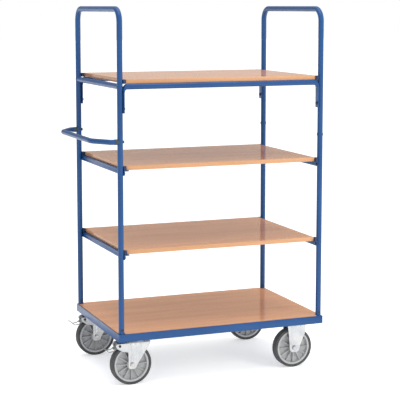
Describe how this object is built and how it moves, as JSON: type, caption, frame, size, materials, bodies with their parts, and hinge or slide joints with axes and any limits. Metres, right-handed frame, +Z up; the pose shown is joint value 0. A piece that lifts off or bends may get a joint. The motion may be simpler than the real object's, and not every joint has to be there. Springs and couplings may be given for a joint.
{
  "type": "shelf trolley",
  "caption": "Tall push trolley with a platform base, wooden shelves between upright tube end frames, a push handle, swivel castors with foot brakes and fixed castors.",
  "frame": {"origin": "centre of the overall box on the ground the wheels stand on", "axes": "+X along the trolley, away from the push handle; -Y is the front; +Z up"},
  "size_m": [1.1764, 0.713, 1.8],
  "materials": {
    "blue_enamel": "semi-gloss powder coat",
    "beech_board": "satin laminate",
    "zinc_plate": "bright zinc plate",
    "zinc_fastener": "zinc plate",
    "ball_steel": "polished",
    "bearing_steel": "ground",
    "rim_plastic": "moulded grey nylon",
    "tyre_rubber": "dark grey rubber",
    "black_plastic": "moulded"
  },
  "bodies": {
    "frame": {"base_front_rail": "blue_enamel", "base_rear_rail": "blue_enamel", "base_left_rail": "blue_enamel", "base_right_rail": "blue_enamel", "castor_cross_plate_left": "blue_enamel", "castor_cross_plate_right": "blue_enamel", "deck_cross_tubes": "blue_enamel", "base_deck": "beech_board", "castor_bolts": "zinc_fastener", "castor_nuts": "zinc_fastener", "left_end_frame": "blue_enamel", "right_end_frame": "blue_enamel", "post_screws": "zinc_fastener", "top_board": "beech_board", "top_left_rail": "blue_enamel", "top_right_rail": "blue_enamel", "top_front_rail": "blue_enamel", "top_rear_rail": "blue_enamel", "lower_shelf_board": "beech_board", "upper_shelf_board": "beech_board", "lower_bearer_left": "blue_enamel", "lower_bearer_right": "blue_enamel", "upper_bearer_left": "blue_enamel", "upper_bearer_right": "blue_enamel", "shelf_stops": "black_plastic", "push_handle": "blue_enamel", "handle_collars": "black_plastic", "post_plugs": "black_plastic", "frame_bolts": "zinc_fastener", "frame_nuts": "zinc_fastener", "right_front_fork": "zinc_plate", "right_front_axle": "zinc_fastener", "left_front_swivel_plate": "zinc_plate", "left_front_kingpin": "zinc_plate", "right_rear_fork": "zinc_plate", "right_rear_axle": "zinc_fastener", "left_rear_swivel_plate": "zinc_plate", "left_rear_kingpin": "zinc_plate"},
    "swivel_front": {"left_front_fork": "zinc_plate", "left_front_race_balls": "ball_steel", "left_front_pedal_pin": "zinc_plate", "left_front_axle": "zinc_fastener"},
    "pedal_front": {"left_front_brake_pedal": "zinc_plate"},
    "wheel_left_front": {"left_front_rim": "rim_plastic", "left_front_tyre": "tyre_rubber", "left_front_bearing": "bearing_steel"},
    "wheel_right_front": {"right_front_rim": "rim_plastic", "right_front_tyre": "tyre_rubber", "right_front_bearing": "bearing_steel"},
    "swivel_rear": {"left_rear_fork": "zinc_plate", "left_rear_race_balls": "ball_steel", "left_rear_pedal_pin": "zinc_plate", "left_rear_axle": "zinc_fastener"},
    "pedal_rear": {"left_rear_brake_pedal": "zinc_plate"},
    "wheel_left_rear": {"left_rear_rim": "rim_plastic", "left_rear_tyre": "tyre_rubber", "left_rear_bearing": "bearing_steel"},
    "wheel_right_rear": {"right_rear_rim": "rim_plastic", "right_rear_tyre": "tyre_rubber", "right_rear_bearing": "bearing_steel"}
  },
  "joints": [
    {"name": "swivel_front_turn", "type": "hinge", "parent": "frame", "child": "swivel_front", "pos_m": [-0.36125, -0.29, 0.219], "axis": [0, 0, 1], "continuous": true},
    {"name": "wheel_left_front_spin", "type": "hinge", "parent": "swivel_front", "child": "wheel_left_front", "pos_m": [-0.40325, -0.29, 0.1], "axis": [0, 1, 0], "continuous": true},
    {"name": "wheel_right_front_spin", "type": "hinge", "parent": "frame", "child": "wheel_right_front", "pos_m": [0.45075, -0.29, 0.1], "axis": [0, 1, 0], "continuous": true},
    {"name": "pedal_front_press", "type": "hinge", "parent": "swivel_front", "child": "pedal_front", "pos_m": [-0.46525, -0.29, 0.196], "axis": [0, -1, 0], "range_deg": [0, 18]},
    {"name": "swivel_rear_turn", "type": "hinge", "parent": "frame", "child": "swivel_rear", "pos_m": [-0.36125, 0.29, 0.219], "axis": [0, 0, 1], "continuous": true},
    {"name": "wheel_left_rear_spin", "type": "hinge", "parent": "swivel_rear", "child": "wheel_left_rear", "pos_m": [-0.40325, 0.29, 0.1], "axis": [0, 1, 0], "continuous": true},
    {"name": "wheel_right_rear_spin", "type": "hinge", "parent": "frame", "child": "wheel_right_rear", "pos_m": [0.45075, 0.29, 0.1], "axis": [0, 1, 0], "continuous": true},
    {"name": "pedal_rear_press", "type": "hinge", "parent": "swivel_rear", "child": "pedal_rear", "pos_m": [-0.46525, 0.29, 0.196], "axis": [0, -1, 0], "range_deg": [0, 18]}
  ]
}
